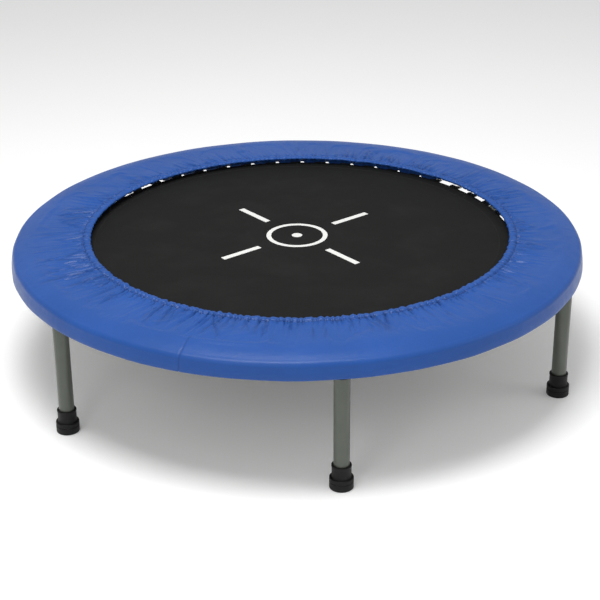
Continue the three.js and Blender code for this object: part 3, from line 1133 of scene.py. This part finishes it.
def settled(settings, outline, shaped):
    """Lets the top's gathered rows settle as cloth that is wider than the ring it is sewn to, held
    along the stitch line and along its outer row. Takes and gives points in ring order."""
    mesh = bpy.data.meshes.new("settling cloth")
    bm = turned(outline, settings.steps, closed=False, sectors=48)
    bm.to_mesh(mesh)
    bm.free()
    flat = read_points(mesh)
    radius = np.hypot(flat[:, 0], flat[:, 1])
    row = np.abs(radius[:, None] - outline[:, 0]).argmin(axis=1)
    order = ring_order(settings, row, np.arctan2(flat[:, 1], flat[:, 0]))
    flat[order] = shaped
    mesh.vertices.foreach_set("co", flat.ravel())
    sheet = bpy.data.objects.new("settling cloth", mesh)
    bpy.context.scene.collection.objects.link(sheet)
    held = sheet.vertex_groups.new(name="held")
    even = sheet.vertex_groups.new(name="even")
    last = len(outline) - 1
    for index, (place, _) in enumerate(outline):
        members = [int(i) for i in np.nonzero(row == index)[0]]
        if index in (0, last):
            held.add(members, 1.0, "REPLACE")
        share = 1 - (place - outline[0, 0]) / (outline[-1, 0] - outline[0, 0])
        even.add(members, 1 - share ** FULLNESS_FADE, "REPLACE")
    cloth = sheet.modifiers.new("settle", "CLOTH")
    cloth.collision_settings.use_collision = False
    cloth.collision_settings.use_self_collision = False
    cloth.point_cache.frame_start, cloth.point_cache.frame_end = 1, SETTLE_FRAMES
    fabric = cloth.settings
    fabric.quality = 5
    fabric.mass = 0.02
    fabric.tension_stiffness = fabric.compression_stiffness = 40
    fabric.shear_stiffness = 8
    fabric.bending_stiffness = 0.08
    fabric.air_damping = 4
    fabric.effector_weights.gravity = 0
    fabric.vertex_group_mass = "held"
    fabric.vertex_group_shrink = "even"
    fabric.shrink_min, fabric.shrink_max = -settings.fullness, 0
    for frame_number in range(1, SETTLE_FRAMES + 1):
        bpy.context.scene.frame_set(frame_number)
    depsgraph = bpy.context.evaluated_depsgraph_get()
    result = bpy.data.meshes.new_from_object(sheet.evaluated_get(depsgraph))
    moved_points = read_points(result)[order]
    bpy.data.objects.remove(sheet)
    bpy.data.meshes.remove(result)
    bpy.context.scene.frame_set(1)
    change = np.clip(moved_points - shaped, -settings.settle_limit, settings.settle_limit)
    change[:, :2] *= SETTLE_SIDEWAYS
    return shaped + change


def shape_cover(mesh, settings, points, stitch_index):
    """Moves the cloth into its gathers, channel puffs and slack, and stores painted shade for the
    creases in a point attribute. Gives the row of each point in the outer face, or -1, and its
    angle."""
    co = read_points(mesh)
    radius, angle = np.hypot(co[:, 0], co[:, 1]), np.arctan2(co[:, 1], co[:, 0])
    out = radius - stitch_radius(settings)
    outline = np.array(points)
    gap = np.hypot(radius[:, None] - outline[:, 0], co[:, 2:3] - outline[:, 1])
    row = np.where(gap.min(axis=1) < 0.02 * MM, gap.argmin(axis=1), -1)
    skin = row >= 0
    slope = np.gradient(outline, axis=0)
    slope /= np.linalg.norm(slope, axis=1)[:, None]
    lip = np.abs(out - 1 * MM) < 0.05 * MM
    lip_rise = np.where(lip, co[:, 2] - COVER_FLAT + 1.7 * MM, 0)
    lip &= co[:, 2] < COVER_FLAT - 0.6 * MM
    relief, fold_shade, puff = gathers(settings, angle, out)
    fade = np.clip(1 - out / (75 * MM), 0, 1)
    relief += swells(angle, out, 3, 14, 60, 150) * 0.5 * MM * fade ** 1.6
    relief += swells(angle, out, 5, 10, 14, 50) * 0.6 * MM * np.clip(1 - out / (98 * MM), 0, 1)
    relief += swells(angle, out, 9, 6, 4, 14) * 0.3 * MM
    across = turn_between(angle, settings.seam_angle) * radius
    closing = np.exp(-(across / (0.9 * MM)) ** 2) * (out > 0)
    relief -= 0.7 * MM * closing
    side = np.clip((radius - COVER_RADIUS) / settings.edge_width + 1, 0, 1)
    ramp = np.clip(1 + out / (4 * MM), 0, 1) * (1 - side)
    co[:, 2] += relief * ramp
    reach = [i for i in range(stitch_index, len(points)) if points[i][0] < SETTLE_OUT]
    top = (row >= reach[0]) & (row <= reach[-1])
    order = np.nonzero(top)[0][ring_order(settings, row[top], angle[top])]
    co[order] = settled(settings, outline[reach], co[order])
    ruffle = swells(angle, out, 11, 12, 120, 300) * 0.25
    channel = (settings.puff * (puff - 0.6 + ruffle)) * (1 - ramp) * (out < 0) * skin
    slack = swells(angle, out, 17, 8, 6, 40) * 0.35 * MM - 0.7 * MM * closing
    normal = channel + slack * side
    co[:, 0] -= normal * slope[row, 1] * np.cos(angle)
    co[:, 1] -= normal * slope[row, 1] * np.sin(angle)
    co[:, 2] += normal * slope[row, 0]
    lay_edge(settings, lay_hem(settings, co))
    hang = slack_share(settings, angle[lip])
    co[lip, 2] += (lip_floor(angle[lip]) + lip_rise[lip] - co[lip, 2]) * hang
    inwards = (MAT_RADIUS + 1.2 * MM) / np.hypot(co[lip, 0], co[lip, 1]) - 1
    co[lip, :2] *= (1 + inwards * hang)[:, None]
    mesh.vertices.foreach_set("co", co.ravel())
    # Painted shade for the crease attribute: along the stitch line (less on the puffs' tops) and in
    # the gathers' valleys; the closing seam is darkened as well.
    stitch_shade = np.exp(-(out / (1.5 * MM)) ** 2) * (0.9 - 0.7 * puff).clip(0, 1)
    painted_shade = fold_shade * (out > -9 * MM) * (1 - side) + stitch_shade + 0.6 * closing
    shade = mesh.attributes.new("crease_shade", "FLOAT", "POINT")
    shade.data.foreach_set("value", np.clip(painted_shade * skin, 0, 1).astype(np.float32))
    return row, angle


def lay_cloth_map(mesh, row, angle, lengths):
    """A UV map in metres: round the ring, and along the outline."""
    layer = mesh.uv_layers.new(name="cloth")
    loops = np.zeros(len(mesh.loops), dtype=np.int64)
    mesh.loops.foreach_get("vertex_index", loops)
    sizes = np.zeros(len(mesh.polygons), dtype=np.int64)
    mesh.polygons.foreach_get("loop_total", sizes)
    face = np.repeat(np.arange(len(sizes)), sizes)
    turn = angle[loops]
    first = turn[np.concatenate([[0], np.cumsum(sizes)[:-1]])][face]
    turn = first + (turn - first + math.pi) % TURN - math.pi
    along = np.where(row >= 0, lengths[row], lengths[-1] + 0.01)[loops]
    layer.data.foreach_set("uv", np.stack([turn * COVER_RADIUS, along], axis=1).ravel())


def cover_stitching(cover, row, angle, stitch_index):
    """Stitches along the channel and down the closing seam, laid on the finished cloth."""
    at = np.nonzero(row == stitch_index)[0]
    at = at[np.argsort(angle[at])]
    spots = [cover.data.vertices[int(i)].co.copy() for i in at]
    bm = bmesh.new()
    one = stitch(3.4 * MM, 0.8 * MM, 0.8 * MM)
    template = bpy.data.meshes.new("stitch")
    one.to_mesh(template)
    one.free()
    step = 3
    for start in range(0, len(spots), step):
        here, ahead = spots[start], spots[(start + 2) % len(spots)]
        middle, along = (here + ahead) / 2, (ahead - here).normalized()
        turn = Vector((0, 1, 0)).rotation_difference(along).to_matrix().to_4x4()
        copy = template.copy()
        copy.transform(Matrix.Translation(middle + Vector((0, 0, 0.35 * MM))) @ turn)
        bm.from_mesh(copy)
        bpy.data.meshes.remove(copy)
    bpy.data.meshes.remove(template)
    return bm


def build_cover(settings):
    cloth = finish_for("cover", cover_cloth, settings)
    points, stitch_index = cover_outline(settings)
    lining = cover_lining(settings, points, stitch_index)
    mesh = bpy.data.meshes.new("gathered_cover")
    bm = turned(points + lining, settings.steps, sectors=48)
    bm.to_mesh(mesh)
    bm.free()
    row, angle = shape_cover(mesh, settings, points, stitch_index)
    lengths = np.linalg.norm(np.diff(points, axis=0), axis=1).cumsum()
    lay_cloth_map(mesh, row, angle, np.concatenate([[0], lengths]))
    cover = dressed("gathered_cover", mesh, cloth, 75)
    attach(cover, "frame")
    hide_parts("frame_cover")
    sewn = finish_for("cover thread", thread, "cover thread", (0.02, 0.05, 0.22))
    stitches = piece("cover_stitching", cover_stitching(cover, row, angle, stitch_index), sewn)
    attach(stitches, "frame")


def build_foam(settings):
    """The foam under the cover, pressed down where the gathers lie on it, and the elastic."""
    foam = finish_for("foam", foam_cells)
    low, high = FOAM_LOW, FOAM_HIGH - 0.2 * MM
    outer = LEG_CIRCLE - 4 * MM
    points = [(FOAM_INNER, low), (outer, low), (outer, high - 2.8 * MM),
              (outer - 10 * MM, high - 1.4 * MM), (FOAM_INNER + 68 * MM, high - 0.4 * MM),
              (FOAM_INNER + 45 * MM, high - 1.6 * MM), (FOAM_INNER + 20 * MM, high - 2.6 * MM),
              (FOAM_INNER + 8 * MM, high - 4 * MM), (FOAM_INNER, high - 5.4 * MM)]
    section = rounded_section(points, [0.5 * MM] * len(points))
    pad = piece("foam_padding", turned(section, 192), foam)
    shape = read_points(pad.data)
    upper = shape[:, 2] > low + 1 * MM
    shape[upper] = lay_edge(settings, shape[upper])
    pad.data.vertices.foreach_set("co", shape.ravel())
    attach(pad, "frame")
    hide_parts("foam_ring")
    braid = finish_for("elastic", webbing_cloth, "braided elastic", (0.62, 0.62, 0.6), 1.2 * MM)
    points = [(ELASTIC_INNER, ELASTIC_LOW), (ELASTIC_OUTER, ELASTIC_LOW),
              (ELASTIC_OUTER, ELASTIC_HIGH), (ELASTIC_INNER, ELASTIC_HIGH)]
    band = piece("elastic_band", turned(rounded_section(points, [0.4 * MM] * 4), 384), braid)
    band.data.vertices.foreach_set("co", lay_hem(settings, read_points(band.data)).ravel())
    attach(band, "frame")
    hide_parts("hem_elastic")


# ---- legs ---------------------------------------------------------------------------------------
def leg_tube(settings):
    bore = LEG_RADIUS - settings.wall
    points = [(bore, LEG_LOW), (LEG_RADIUS, LEG_LOW), (LEG_RADIUS, LEG_TOP), (bore, LEG_TOP)]
    return turned(rounded_section(points, [0.3 * MM, 0.5 * MM, 0.5 * MM, 0.3 * MM]), 64)


def threaded_insert(settings):
    bore = 5.4 * MM
    points = [(bore, INSERT_LOW), (INSERT_RADIUS, INSERT_LOW), (INSERT_RADIUS, INSERT_TOP),
              (bore, INSERT_TOP)]
    return turned(rounded_section(points, [0.4 * MM, 0.4 * MM, 0.4 * MM, 0.9 * MM]), 48)


def rubber_foot(settings):
    bore = LEG_RADIUS + 0.15 * MM
    sleeve = LEG_RADIUS + 0.3 * MM + settings.sleeve_wall
    flange = FOOT_RADIUS
    step = FOOT_LOW + settings.flange_height
    floor = LEG_LOW - 0.3 * MM
    groove = FOOT_LOW + 0.62 * settings.flange_height
    points = [
        (0, 1.2 * MM), (4 * MM, 1.2 * MM), (4.4 * MM, 0), (8 * MM, 0), (8.4 * MM, 1.2 * MM),
        (11 * MM, 1.2 * MM), (11.4 * MM, 0),
        *arc((flange - 1.6 * MM, 1.6 * MM), 1.6 * MM, -90, 0, 4),
        (flange, groove - 0.9 * MM), (flange - 0.7 * MM, groove - 0.4 * MM),
        (flange - 0.7 * MM, groove + 0.4 * MM), (flange, groove + 0.9 * MM),
        *arc((flange - 1.4 * MM, step - 1.4 * MM), 1.4 * MM, 0, 90, 4),
        (sleeve + 0.7 * MM, step), (sleeve + 0.2 * MM, step + 0.2 * MM), (sleeve, step + 0.9 * MM),
        (sleeve - 0.1 * MM, FOOT_TOP - 3.4 * MM), (sleeve + 0.5 * MM, FOOT_TOP - 2.6 * MM),
        *arc((sleeve - 0.5 * MM, FOOT_TOP - 1 * MM), 1 * MM, 0, 90, 4),
        (bore + 0.6 * MM, FOOT_TOP), (bore, FOOT_TOP - 0.6 * MM), (bore, floor), (0, floor),
    ]
    return turned(points, 72, closed=False)


def build_legs(settings):
    paint = finish_for("paint", tube_paint, bpy.context.scene.trampoline_frame)
    steel = finish_for("steel", plated_steel, bpy.context.scene.trampoline_springs)
    rubber = finish_for("rubber", foot_rubber, settings)
    kinds = [
        ("leg", leg_tube, paint, "leg_paint", "leg_tube_%d", "leg_%d"),
        ("threaded_insert", threaded_insert, steel, "spring_steel", "leg_insert_%d",
         "leg_%d_insert"),
        ("foot", rubber_foot, rubber, "foot_rubber", "rubber_foot_%d", "leg_%d"),
    ]
    for leg in range(1, LEG_COUNT + 1):
        place = Matrix.Rotation(leg_angle(leg), 4, "Z") @ Matrix.Translation((LEG_CIRCLE, 0, 0))
        for name, make, material, slot, node, body in kinds:
            shape = moved(make(settings), place)
            part = piece("%s_number_%d" % (name, leg), shape, material, 40)
            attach(part, body % leg)
            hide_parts(node % leg)


# ---- stage --------------------------------------------------------------------------------------
SKY_STRENGTH = 0.43
LIGHT_AIM = 200 * MM       # height that every light points at


def build_stage(settings):
    scene = bpy.context.scene
    scene.view_settings.view_transform = "Standard"
    scene.view_settings.look = "None"
    bm = bmesh.new()
    bmesh.ops.create_grid(bm, x_segments=8, y_segments=8, size=30)
    floor = piece("floor", bm, stage_paint("pale floor", settings.floor))
    world = bpy.data.worlds.new("studio")
    world.use_nodes = True
    background = world.node_tree.nodes["Background"]
    background.inputs["Color"].default_value = (1, 1, 1, 1)
    background.inputs["Strength"].default_value = SKY_STRENGTH
    scene.world = world
    turn = Matrix.Rotation(settings.heading, 4, "Z")
    lights = [
        ("overhead softbox", (-0.3, -0.5, 2.8), 1.3, 61),
        ("front softbox", (-1.0, -2.4, 1.7), 0.7, 6),
        ("right softbox", (2.6, -0.6, 1.7), 1.4, 7),
    ]
    for name, place, size, power in lights:
        data = bpy.data.lights.new(name, "AREA")
        data.shape = "SQUARE"
        data.size = size
        data.energy = power
        lamp = bpy.data.objects.new(name, data)
        lamp.location = turn @ Vector(place)
        to_object = Vector((0, 0, LIGHT_AIM)) - lamp.location
        lamp.rotation_euler = to_object.to_track_quat("-Z", "Y").to_euler()
        scene.collection.objects.link(lamp)
    data = bpy.data.cameras.new("camera")
    data.lens = settings.lens
    data.sensor_width = 36
    data.clip_end = 100
    camera = bpy.data.objects.new("camera", data)
    aim = turn @ Vector((settings.side, -settings.near, COVER_FLAT))
    forward = turn @ Vector((0, math.cos(settings.pitch), -math.sin(settings.pitch)))
    side = forward.cross(Vector((0, 0, 1))).normalized()
    up = side.cross(forward)
    facing = Matrix((side, up, -forward)).transposed().to_4x4()
    spin = Matrix.Rotation(settings.roll, 4, "Z")
    camera.matrix_world = Matrix.Translation(aim - forward * settings.distance) @ facing @ spin
    scene.collection.objects.link(camera)
    scene.camera = camera


# ---- operators, panel and registration ----------------------------------------------------------
class TRAMPOLINE_OT_stage(bpy.types.Operator):
    """Adds the camera, the studio light and the pale floor"""
    bl_idname = "trampoline.stage"
    bl_label = "Stage"

    def execute(self, context):
        build_stage(context.scene.trampoline_stage)
        return {"FINISHED"}


class TRAMPOLINE_OT_frame(bpy.types.Operator):
    """Builds the round tube frame with its spring holes, leg seats and studs"""
    bl_idname = "trampoline.frame"
    bl_label = "Frame"

    def execute(self, context):
        build_frame(context.scene.trampoline_frame)
        return {"FINISHED"}


class TRAMPOLINE_OT_springs(bpy.types.Operator):
    """Winds the coil springs and bends the triangle rings"""
    bl_idname = "trampoline.springs"
    bl_label = "Springs and rings"

    def execute(self, context):
        build_springs(context.scene.trampoline_springs)
        return {"FINISHED"}


class TRAMPOLINE_OT_mat(bpy.types.Operator):
    """Builds the jumping mat with its webbing, ring loops and stitching"""
    bl_idname = "trampoline.mat"
    bl_label = "Mat"

    def execute(self, context):
        build_mat(context.scene.trampoline_mat)
        return {"FINISHED"}


class TRAMPOLINE_OT_print(bpy.types.Operator):
    """Prints the plain bars and ring on the mat"""
    bl_idname = "trampoline.print"
    bl_label = "Print"

    def execute(self, context):
        build_print(context.scene.trampoline_mat)
        return {"FINISHED"}


class TRAMPOLINE_OT_cover(bpy.types.Operator):
    """Builds the gathered cover with its sewn channel, skirt and stitching"""
    bl_idname = "trampoline.cover"
    bl_label = "Cover"

    def execute(self, context):
        build_cover(context.scene.trampoline_cover)
        return {"FINISHED"}


class TRAMPOLINE_OT_foam(bpy.types.Operator):
    """Builds the foam ring under the cover and the elastic in its channel"""
    bl_idname = "trampoline.foam"
    bl_label = "Foam and elastic"

    def execute(self, context):
        build_foam(context.scene.trampoline_cover)
        return {"FINISHED"}


class TRAMPOLINE_OT_legs(bpy.types.Operator):
    """Builds the six screw-in legs with their inserts and rubber feet"""
    bl_idname = "trampoline.legs"
    bl_label = "Legs"

    def execute(self, context):
        build_legs(context.scene.trampoline_legs)
        return {"FINISHED"}


OPERATORS = [
    TRAMPOLINE_OT_stage, TRAMPOLINE_OT_frame, TRAMPOLINE_OT_springs, TRAMPOLINE_OT_mat,
    TRAMPOLINE_OT_print, TRAMPOLINE_OT_cover, TRAMPOLINE_OT_foam, TRAMPOLINE_OT_legs,
]


class TRAMPOLINE_PT_panel(bpy.types.Panel):
    """Lists the pieces of the mini trampoline and their sizes"""
    bl_idname = "TRAMPOLINE_PT_panel"
    bl_label = "Mini Trampoline"
    bl_space_type = "VIEW_3D"
    bl_region_type = "UI"
    bl_category = "Trampoline"

    def draw(self, context):
        for operator in OPERATORS:
            self.layout.operator(operator.bl_idname)
        for name, group in SETTINGS.items():
            box = self.layout.box()
            for value in group.__annotations__:
                box.prop(getattr(context.scene, name), value)


CLASSES = [*SETTINGS.values(), *OPERATORS, TRAMPOLINE_PT_panel]


def register():
    for cls in CLASSES:
        bpy.utils.register_class(cls)
    for name, group in SETTINGS.items():
        setattr(bpy.types.Scene, name, PointerProperty(type=group))


def unregister():
    for name in SETTINGS:
        delattr(bpy.types.Scene, name)
    for cls in reversed(CLASSES):
        bpy.utils.unregister_class(cls)


def main():
    register()
    for operator in OPERATORS:
        getattr(bpy.ops.trampoline, operator.bl_idname.split(".")[1])()


if __name__ == "__main__":
    main()
